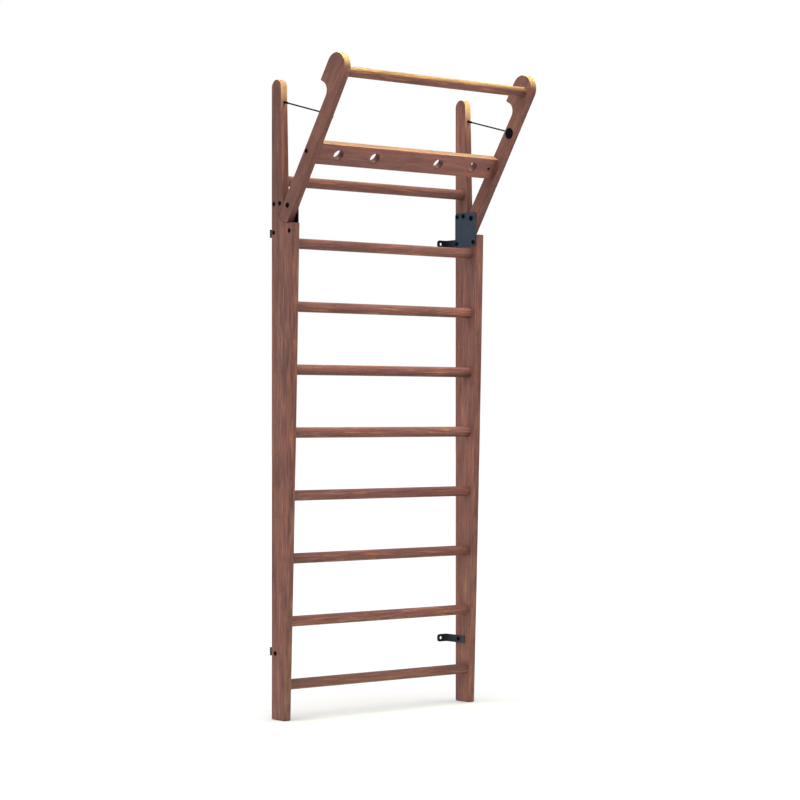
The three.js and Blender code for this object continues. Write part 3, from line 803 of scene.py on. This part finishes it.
for side, s in SIDES:
    me = arm.copy() if s > 0 else mirrored(arm, "arm")
    pith = (s * (ARM_IN - 52.0), -96.0) if s > 0 else (s * (ARM_OUT + 66.0), -70.0)
    shift = 23.4 if s > 0 else 29.9
    flag = slab_edge(s * ARM_IN, s * ARM_OUT, ARM_EDGE)
    board = toned(
        piece(
            side + "_arm_board", me, ARM_WOOD, PULL_BODY, side + "_arm",
            grain=lambda v, p=pith, k=shift: (v.z * MM + k, (v.x - p[0]) * MM, (v.y - p[1] + 0.045 * (v.z - 1600.0)) * MM),
            edge=lambda v, f=flag: 0.0 if v.z < 1760.0 else f(v), opened=True,
        ),
        arm_tone_and_light(s),
    )
    # painted golden highlight on the rounded top of the arm
    with_painted_highlight(board, head_rim_highlight)
bpy.data.meshes.remove(arm)

# ---- crossbeam -------------------------------------------------------------------------------------------------------
tilt = math.radians(BEAM_TILT)
beam_across = Vector((0.0, math.cos(tilt), math.sin(tilt)))
beam_along = Vector((0.0, -math.sin(tilt), math.cos(tilt)))
beam_end = ARM_IN - 0.3
BEAM_EDGE, EASE = 1.6, 1.0  # the plank's edges and the eased edges of its holes
h, w = BEAM_T / 2, BEAM_W / 2
section = [Vector((a, b)) for a, b in ((h, -w), (h, w), (-h, w), (-h, -w))]
section = rounded([(p.x, p.y, BEAM_EDGE) for p in section], 7)
# the plank, drawn upright about its own middle and then set in its place
beam = slab("beam", section, -beam_end, beam_end, 0.6, 2)
beam_place = Matrix.Translation((0, BEAM_Y, BEAM_Z)) @ Matrix.Rotation(tilt, 4, "X")
tools = []
for x in BEAM_HOLES:
    flare = [(0, -h - 6)]
    flare += [(BEAM_HOLE_R + EASE + 4.0, -h - 6), (BEAM_HOLE_R + EASE, -h - 0.01)]
    flare += [(BEAM_HOLE_R + EASE - EASE * math.sin(a), -h + EASE - EASE * math.cos(a)) for a in (math.pi / 2 * i / 5 for i in range(1, 6))]
    flare += [(r, -t) for r, t in reversed(flare[1:])]
    flare += [(0, h + 6)]
    tools.append(turned("cutter", flare, (x, 0, 0), (0, 1, 0), 64))
bolt_in_beam = beam_place.inverted() @ Vector((0.0, *BEAM_BOLT))  # the bolts' axis, seen from the plank's middle
for s in (-1, 1):
    tools.append(cylinder(4.35, bolt_in_beam, (1, 0, 0), min(s * (BEAM_NUT_X - 12), s * (beam_end + 5)), max(s * (BEAM_NUT_X - 12), s * (beam_end + 5)), 32))
beam = cut(beam, tools)
beam = cut(beam, [cylinder(5.35, (s * BEAM_NUT_X, bolt_in_beam.y, bolt_in_beam.z), (0, s, 0), -30, 6.5, 40) for s in (-1, 1)])
beam.transform(beam_place)


def beam_edge(v):
    q = Vector((v.x, v.y - BEAM_Y, v.z - BEAM_Z))
    a, b = abs(q.dot(beam_across)), abs(q.dot(beam_along))
    return 1.0 if (a > h - BEAM_EDGE + 0.05 and b > w - BEAM_EDGE + 0.05) else 0.0


def beam_grain(v):
    q = Vector((v.x, v.y - BEAM_Y, v.z - BEAM_Z))
    return (v.x * MM + 53.2, (q.dot(beam_across) + 58.0) * MM, (q.dot(beam_along) - 14.0) * MM)


def in_bore(c):
    """Whether a face lies in one of the four holes, which are given painted shade."""
    q = beam_place.inverted() @ c
    return abs(q.y) < h - 0.05 and any(math.hypot(q.x - x, q.z) < BEAM_HOLE_R + EASE for x in BEAM_HOLES)


bore = [1 if in_bore(f.center) else 0 for f in beam.polygons]
plank = toned(piece("crossbeam_plank", beam, BEAM_WOOD, PULL_BODY, "crossbeam", grain=beam_grain, edge=beam_edge, opened=True), 1.0)
plank.data.materials.append(BORE_SHADE_WOOD)
plank.data.polygons.foreach_set("material_index", bore)

# ---- fasteners -------------------------------------------------------------------------------------------------------
def button_bolt(seat, end, y, z, r, head_r, head_h, key):
    """A button-head bolt along X: its head lies on the face at x = seat and its shank runs inwards to x = end."""
    t = seat + 0.25
    dome = [(head_r, t + 0.3), (head_r, t + 0.22 * head_h)]
    for i in range(1, 9):
        a = math.pi / 2 * i / 8
        dome.append((head_r * (0.46 + 0.54 * math.cos(a)), t + head_h * (0.22 + 0.78 * math.sin(a))))
    profile = [(0, end), (r - 0.7, end), (r, end + 0.7), (r, t), (head_r - 0.3, t)] + dome + [(0, t + head_h)]
    me = turned("bolt", profile, (0, y, z), (1, 0, 0), 40)
    return cut(me, [prism("key", 6, key, (0, y, z), (1, 0, 0), t + head_h - 0.62 * head_h, t + head_h + 2, (0, 0, 1))])


def cap_nut(seat, y, z, r, head_r, height, key):
    """A sleeve nut along X: its low domed head lies on the face at x = seat and points inwards."""
    t = seat - 0.25
    profile = [(0, t - height + 1.6), (r + FIT, t - height + 1.6), (r + FIT, t), (head_r - 0.3, t), (head_r, t - 0.3), (head_r, t - 0.35 * height)]
    for i in range(1, 9):
        a = math.pi / 2 * i / 8
        profile.append((head_r * (0.46 + 0.54 * math.cos(a)), t - height * (0.35 + 0.65 * math.sin(a))))
    profile.append((0, t - height))
    me = turned("nut", profile, (0, y, z), (1, 0, 0), 40)
    return cut(me, [prism("key", 6, key, (0, y, z), (1, 0, 0), t - height - 2, t - height + 1.2, (0, 0, 1))])


def both(name, make, material, body, node, edge, opened=False):
    me = make()
    for side, s in SIDES:
        copy = me.copy() if s > 0 else mirrored(me, name)
        o = piece(side + "_" + name, copy, material, body, side + "_" + node, edge=edge, opened=opened, sharp=32.0)
    bpy.data.meshes.remove(me)
    return o


def rim(y, z, r, key):
    def of(v):
        d = math.hypot(v.y - y, v.z - z)
        return 1.0 if d > 0.9 * r or 0.45 * key < d < 0.62 * key else 0.0

    return of


for k, (y, z) in enumerate(PLATE_BOLTS):
    seat = PLATE_IN
    both("plate_screw_%d" % (k + 1), lambda: button_bolt(HALF, seat - 2.2, y, z, 4.0, 7.0, 2.8, 5.0), STEEL, FRAME_BODY, "plate_bolt_%d" % (k + 1), rim(y, z, 7.0, 5.0))
    both("plate_cap_nut_%d" % (k + 1), lambda: cap_nut(seat, y, z, 4.0, 7.0, NUT_H, 5.0), STEEL, FRAME_BODY, "plate_nut_%d" % (k + 1), rim(y, z, 7.0, 5.0))
y, z = LOWER_BOLT_Y, LOWER_Z
both("bracket_screw", lambda: button_bolt(HALF, PLATE_IN - 2.2, y, z, 4.0, 7.0, 2.8, 5.0), STEEL, FRAME_BODY, "bracket_bolt", rim(y, z, 7.0, 5.0))
both("bracket_cap_nut", lambda: cap_nut(PLATE_IN, y, z, 4.0, 7.0, NUT_H, 5.0), STEEL, FRAME_BODY, "bracket_nut", rim(y, z, 7.0, 5.0))
y, z = PIVOT_Y, PIVOT_Z
both("pivot_screw", lambda: button_bolt(ARM_OUT, PLATE_IN - 2.2, y, z, 5.0, 8.5, 3.0, 6.0), STEEL, FRAME_BODY, "pivot_bolt", rim(y, z, 8.5, 6.0))
both("pivot_cap_nut", lambda: cap_nut(PLATE_IN, y, z, 5.0, 8.5, NUT_H, 6.0), STEEL, FRAME_BODY, "pivot_nut", rim(y, z, 8.5, 6.0))
y, z = BEAM_BOLT
both("crossbeam_screw", lambda: button_bolt(ARM_OUT, BEAM_NUT_X - 8, y, z, 4.0, 7.0, 2.8, 5.0), STEEL, PULL_BODY, "crossbeam_bolt", rim(y, z, 7.0, 5.0), opened=True)


def barrel_nut(s):
    """A cross dowel in the plank, with a screwdriver slot in its face; the right one was put in from the front, the left one from the back."""
    o = Vector((s * BEAM_NUT_X, *BEAM_BOLT))
    across = beam_across * s
    face, back = 0.5 - h - s * bolt_in_beam.y, 6.0
    me = turned("nut", [(0, face), (4.5, face), (5.0, face + 0.5), (5.0, back - 0.4), (4.6, back), (0, back)], o, across, 40)
    me = cut(me, [cylinder(4.35, (0, *BEAM_BOLT), (1, 0, 0), min(s * 333, s * 373), max(s * 333, s * 373), 32)])
    slot = slab("slot", [Vector(p) for p in ((-2.0, -0.6), (0.9, -0.6), (0.9, 0.6), (-2.0, 0.6))], -8, 8, 0.05, 1)
    slot.transform(Matrix.Translation(o) @ Matrix.Rotation(tilt if s > 0 else tilt + math.pi, 4, "X") @ Matrix.Translation((0, face, 0)))
    return cut(me, [slot])


for side, s in SIDES:
    piece(side + "_barrel_nut", barrel_nut(s), STEEL, PULL_BODY, side + "_crossbeam_nut", edge=lambda v: 0.0, opened=True, sharp=32.0)

# ---- hinge plates and wall brackets ----------------------------------------------------------------------------------
BEND_AT = STAND_OFF - BRACKET_BEND - BRACKET_T  # where the bend towards the wall starts
BEND_LENGTH = math.pi / 2 * (BRACKET_BEND + BRACKET_T / 2)  # middle line of the bend
FLAT_END = BEND_AT + BEND_LENGTH + BRACKET_FOOT - BRACKET_BEND - BRACKET_T
FLAT_HOLE = BEND_AT + BEND_LENGTH + BRACKET_HOLE_AT - BRACKET_BEND - BRACKET_T


def sheet_steel(points, holes):
    """A flat pattern of (y, z) points in the plane of the inner faces, cut and then bent round to the wall."""
    me = slab("sheet", points, 0, BRACKET_T, 0.6, 3)
    me = cut(me, [cylinder(r, (0, y, z), (1, 0, 0), -5, BRACKET_T + 5, 40) for y, z, r in holes])
    bm = bmesh.new()
    bm.from_mesh(me)
    bpy.data.meshes.remove(me)
    steps = 12
    for line in [-22.0, -2.5, 10.0, 25.0] + [BEND_AT + BEND_LENGTH * i / steps for i in range(steps + 1)]:
        geom = bm.verts[:] + bm.edges[:] + bm.faces[:]
        bmesh.ops.bisect_plane(bm, geom=geom, dist=1e-5, plane_co=(0, line, 0), plane_no=(0, 1, 0))
    r, cx = BRACKET_BEND, PLATE_IN - BRACKET_BEND
    for v in bm.verts:
        through, along, up = v.co  # through 0 is the inner face
        if along <= BEND_AT:
            x, y = PLATE_IN + through, along
        elif along >= BEND_AT + BEND_LENGTH:
            x, y = cx - (along - BEND_AT - BEND_LENGTH), STAND_OFF - BRACKET_T + through
        else:
            a = (along - BEND_AT) / BEND_LENGTH * math.pi / 2
            x, y = cx + (r + through) * math.cos(a), BEND_AT + (r + through) * math.sin(a)
        v.co = (x, y, up)
    return mesh_of(bm, "sheet")


y0, z0, y1, z1, corner = PLATE
ear_mid, ear_top = z0 + BRACKET_H / 2, z0 + BRACKET_H
plate_points = rounded(
    [(y0, z0, corner), (FLAT_END, z0, BRACKET_CORNER), (FLAT_END, ear_top, BRACKET_CORNER), (y1, ear_top, 2.0), (y1, z1, corner), (y0, z1, corner)], 10
)
lower_points = rounded(
    [(LOWER_TAB, LOWER_Z - BRACKET_H / 2, 2.0), (FLAT_END, LOWER_Z - BRACKET_H / 2, BRACKET_CORNER), (FLAT_END, LOWER_Z + BRACKET_H / 2, BRACKET_CORNER), (LOWER_TAB, LOWER_Z + BRACKET_H / 2, 2.0)], 10
)
plate_holes = [(y, z, 4.35) for y, z in PLATE_BOLTS] + [(PIVOT_Y, PIVOT_Z, 5.35), (FLAT_HOLE, ear_mid, BRACKET_HOLE)]
lower_holes = [(LOWER_BOLT_Y, LOWER_Z, 4.35), (FLAT_HOLE, LOWER_Z, BRACKET_HOLE)]


def sheet_edge(v):
    """Cut edges of the sheet, seen from their place in its thickness."""
    flat = PLATE_IN + 0.02 < abs(v.x) < PLATE_OUT - 0.02 and v.y < BEND_AT
    foot = STAND_OFF - BRACKET_T + 0.02 < v.y < STAND_OFF - 0.02
    return 1.0 if flat or foot else 0.0


for points, sheet_holes, name, node, coat, wall_end_darkening in (
    (plate_points, plate_holes, "%s_steel_plate", "%s_hinge_plate", PLATE_COAT, 0.70),
    (lower_points, lower_holes, "lower_%s_steel_bracket", "lower_%s_bracket", BRACKET_COAT, 0.32),
):
    made = sheet_steel(points, sheet_holes)
    for side, s in SIDES:
        me = made.copy() if s > 0 else mirrored(made, "sheet")
        # the sheet is darker towards the wall end
        o = toned(piece(name % side, me, coat, FRAME_BODY, node % side, edge=sheet_edge), lambda v, k=wall_end_darkening: 1.0 - k * ramp(v.y, -0.062, -0.045))
        me.materials.append(STEEL)  # the face that lies on the wood is made black steel: painted shade, for where it shows in the gap between arm and upright
        me.polygons.foreach_set("material_index", [1 if p.normal.x * s > 0.9 and p.center.y < -0.04 else 0 for p in me.polygons])
    bpy.data.meshes.remove(made)


# ---- stay cables -----------------------------------------------------------------------------------------------------
def tube(points, r, sides, phase=0.0):
    """A closed tube through points that lie nearly on a line, as bmesh-ready vertices and faces."""
    verts, faces = [], []
    for i, p in enumerate(points):
        d = (points[min(i + 1, len(points) - 1)] - points[max(i - 1, 0)]).normalized()
        u = Vector((1, 0, 0))
        u = (u - d * u.dot(d)).normalized()
        v = d.cross(u)
        for k in range(sides):
            a = 2 * math.pi * k / sides + phase
            verts.append(p + (u * math.cos(a) + v * math.sin(a)) * r)
    for i in range(len(points) - 1):
        for k in range(sides):
            j = (k + 1) % sides
            faces.append((i * sides + k, i * sides + j, (i + 1) * sides + j, (i + 1) * sides + k))
    faces.append(tuple(reversed(range(sides))))
    last = (len(points) - 1) * sides
    faces.append(tuple(range(last, last + sides)))
    return verts, faces


STAY_START, STAY_END = -3.7, STAY_SPAN + 16.7
SLEEVE_END, LAY, STRANDS = 19.0, 26.0, 6


def rope(s):
    """Six strands laid round a core, with a short sleeve where the rope leaves the upright."""
    o = Vector((s * STAY_X, *STAY_FROM))
    u = Vector((1, 0, 0))
    v = STAY_DIR.cross(u)
    verts, faces, edges, mats = [], [], [], []

    def take(points, r, sides, centre_r, material):
        base = len(verts)
        vs, fs = tube(points, r, sides)
        verts.extend(vs)
        for q in vs:
            d = q - o
            off = (d - STAY_DIR * d.dot(STAY_DIR)).length
            edges.append(1.0 if off > centre_r + 0.35 * r else 0.0)
        faces.extend(tuple(base + i for i in f) for f in fs)
        mats.extend([material] * len(fs))

    n = 150
    steps = [STAY_START + (STAY_END - STAY_START) * i / n for i in range(n + 1)]
    for k in range(STRANDS):
        pts = []
        for t in steps:
            a = 2 * math.pi * (k / STRANDS + s * t / LAY)
            pts.append(o + STAY_DIR * t + (u * math.cos(a) + v * math.sin(a)) * 1.71)
        take(pts, 0.88, 7, 1.71, 0)
    take([o + STAY_DIR * t for t in steps[::6]], 0.86, 6, 9.0, 0)
    # sleeve: a short tube with a softened end
    ring = [(-3.7, 3.7), (15.0, 3.7), (17.2, 3.55), (18.4, 3.2), (SLEEVE_END, 2.7)]
    base = len(verts)
    for t, r in ring:
        for k in range(20):
            a = 2 * math.pi * k / 20
            verts.append(o + STAY_DIR * t + (u * math.cos(a) + v * math.sin(a)) * r)
            edges.append(0.0)
    for i in range(len(ring) - 1):
        for k in range(20):
            j = (k + 1) % 20
            faces.append((base + i * 20 + k, base + i * 20 + j, base + (i + 1) * 20 + j, base + (i + 1) * 20 + k))
            mats.append(1)
    faces.append(tuple(base + k for k in reversed(range(20))))
    faces.append(tuple(base + (len(ring) - 1) * 20 + k for k in range(20)))
    mats.extend([1, 1])
    me = bpy.data.meshes.new("rope")
    me.from_pydata([tuple(q) for q in verts], [], faces)
    bm = bmesh.new()
    bm.from_mesh(me)
    bmesh.ops.recalc_face_normals(bm, faces=bm.faces)
    bm.to_mesh(me)
    bm.free()
    add_floats(me, "edge", edges)
    return me, mats


for side, s in SIDES:
    me, mats = rope(s)
    o = piece(side + "_stay_rope", me, WIRE, None, side + "_stay_cable", sharp=50.0, weighted=False)
    me.materials.append(RUBBER)
    me.polygons.foreach_set("material_index", mats)
    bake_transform(o)


# ---- caps ------------------------------------------------------------------------------------------------------------
def cap():
    face = ARM_IN - 0.3
    profile = [(0, face - CAP_LIP)]
    profile += [(9.0, face - CAP_LIP), (CAP_R - 5.0, face - CAP_LIP + 0.05), (CAP_R - 3.4, face - CAP_LIP + 0.2), (CAP_R - 2.0, face - CAP_LIP + 0.1)]
    profile += [(CAP_R - 1.4 + 1.4 * math.sin(a), face - CAP_LIP + 0.1 + 1.2 - 1.2 * math.cos(a)) for a in (math.pi / 2 * i / 6 for i in range(1, 7))]
    profile += [(CAP_R, face - 0.2), (CAP_R - 0.2, face), (CAP_BORE - 0.4, face), (CAP_BORE - 0.4, face + 3.4), (CAP_BORE - 1.0, face + 4.0), (0, face + 4.0)]
    return turned("cap", profile, (0, CAP_Y, CAP_Z), (1, 0, 0), 64)


both("cable_cap", cap, PLASTIC, PULL_BODY, "arm_cap", lambda v: 0.0, opened=True)

# ---- inner pieces that keep their shape ------------------------------------------------------------------------------
for side, _ in SIDES:
    for node, material in (("pivot_bush", BRONZE), ("stay_anchor", STEEL), ("stay_stop", STEEL)):
        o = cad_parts[side + "_" + node]
        o.data.materials.clear()
        o.data.materials.append(material)

# ---- floor and light -------------------------------------------------------------------------------------------------
floor_data = bpy.data.meshes.new("floor")
floor_data.from_pydata([(-40, -40, -0.0004), (40, -40, -0.0004), (40, 40, -0.0004), (-40, 40, -0.0004)], [], [(0, 1, 2, 3)])
floor = bpy.data.objects.new("floor", floor_data)
collection.objects.link(floor)
t = Nodes("floor")
floor_data.materials.append(t.set(Base_Color=t.mix(t.noise(t.coords(), 2.0, 2.0, 0.5), lin(182, 182, 182), lin(186, 186, 186)), Roughness=0.9))

world = bpy.data.worlds.new("studio")
world.use_nodes = True
world.node_tree.nodes["Background"].inputs["Color"].default_value = (1.0, 1.0, 1.0, 1.0)
world.node_tree.nodes["Background"].inputs["Strength"].default_value = 1.0
bpy.context.scene.world = world


def lamp(name, kind, energy, colour, place, aim, **settings):
    data = bpy.data.lights.new(name, kind)
    data.energy, data.color = energy, colour
    for k, v in settings.items():
        setattr(data, k, v)
    o = bpy.data.objects.new(name, data)
    o.location = place
    o.rotation_euler = (Vector(aim) - Vector(place)).to_track_quat("-Z", "Y").to_euler()
    collection.objects.link(o)
    return o


lamp("top_soft", "SUN", 4.2, (1.0, 1.0, 1.0), (-1.9, -1.0, 6.0), (0, 0, 0), angle=math.radians(80))
STRAW, AMBER = (0.66, 1.0, 0.34), (1.0, 0.82, 0.42)
for name, energy, colour, y, z, wide, deep, spread in (("straw_front", 6.05, STRAW, -0.40, 2.42, 0.81, 0.27, 12), ("amber_wall", 0.35, AMBER, -0.075, 2.50, 0.88, 0.16, 28)):
    strip = lamp(name, "AREA", energy, colour, (0.0, y, z), (0.0, y, 0.0), shape="RECTANGLE", size=wide, size_y=deep, spread=math.radians(spread))
    strip.visible_camera = False
for x, aim, energy in ((-0.155, -0.3875, 0.16), (0.62, 0.3875, 0.30)):
    spot = lamp("end_soft", "AREA", energy, (0.78, 1.0, 0.58), (x, -1.65, 2.60), (aim, -0.1, 2.065), shape="DISK", size=0.10, spread=math.radians(8))
    spot.visible_camera = False

bpy.context.scene.view_settings.view_transform = "Standard"
bpy.context.scene.view_settings.look = "None"

# ---- end -------------------------------------------------------------------------------------------------------------
bpy.context.view_layer.update()
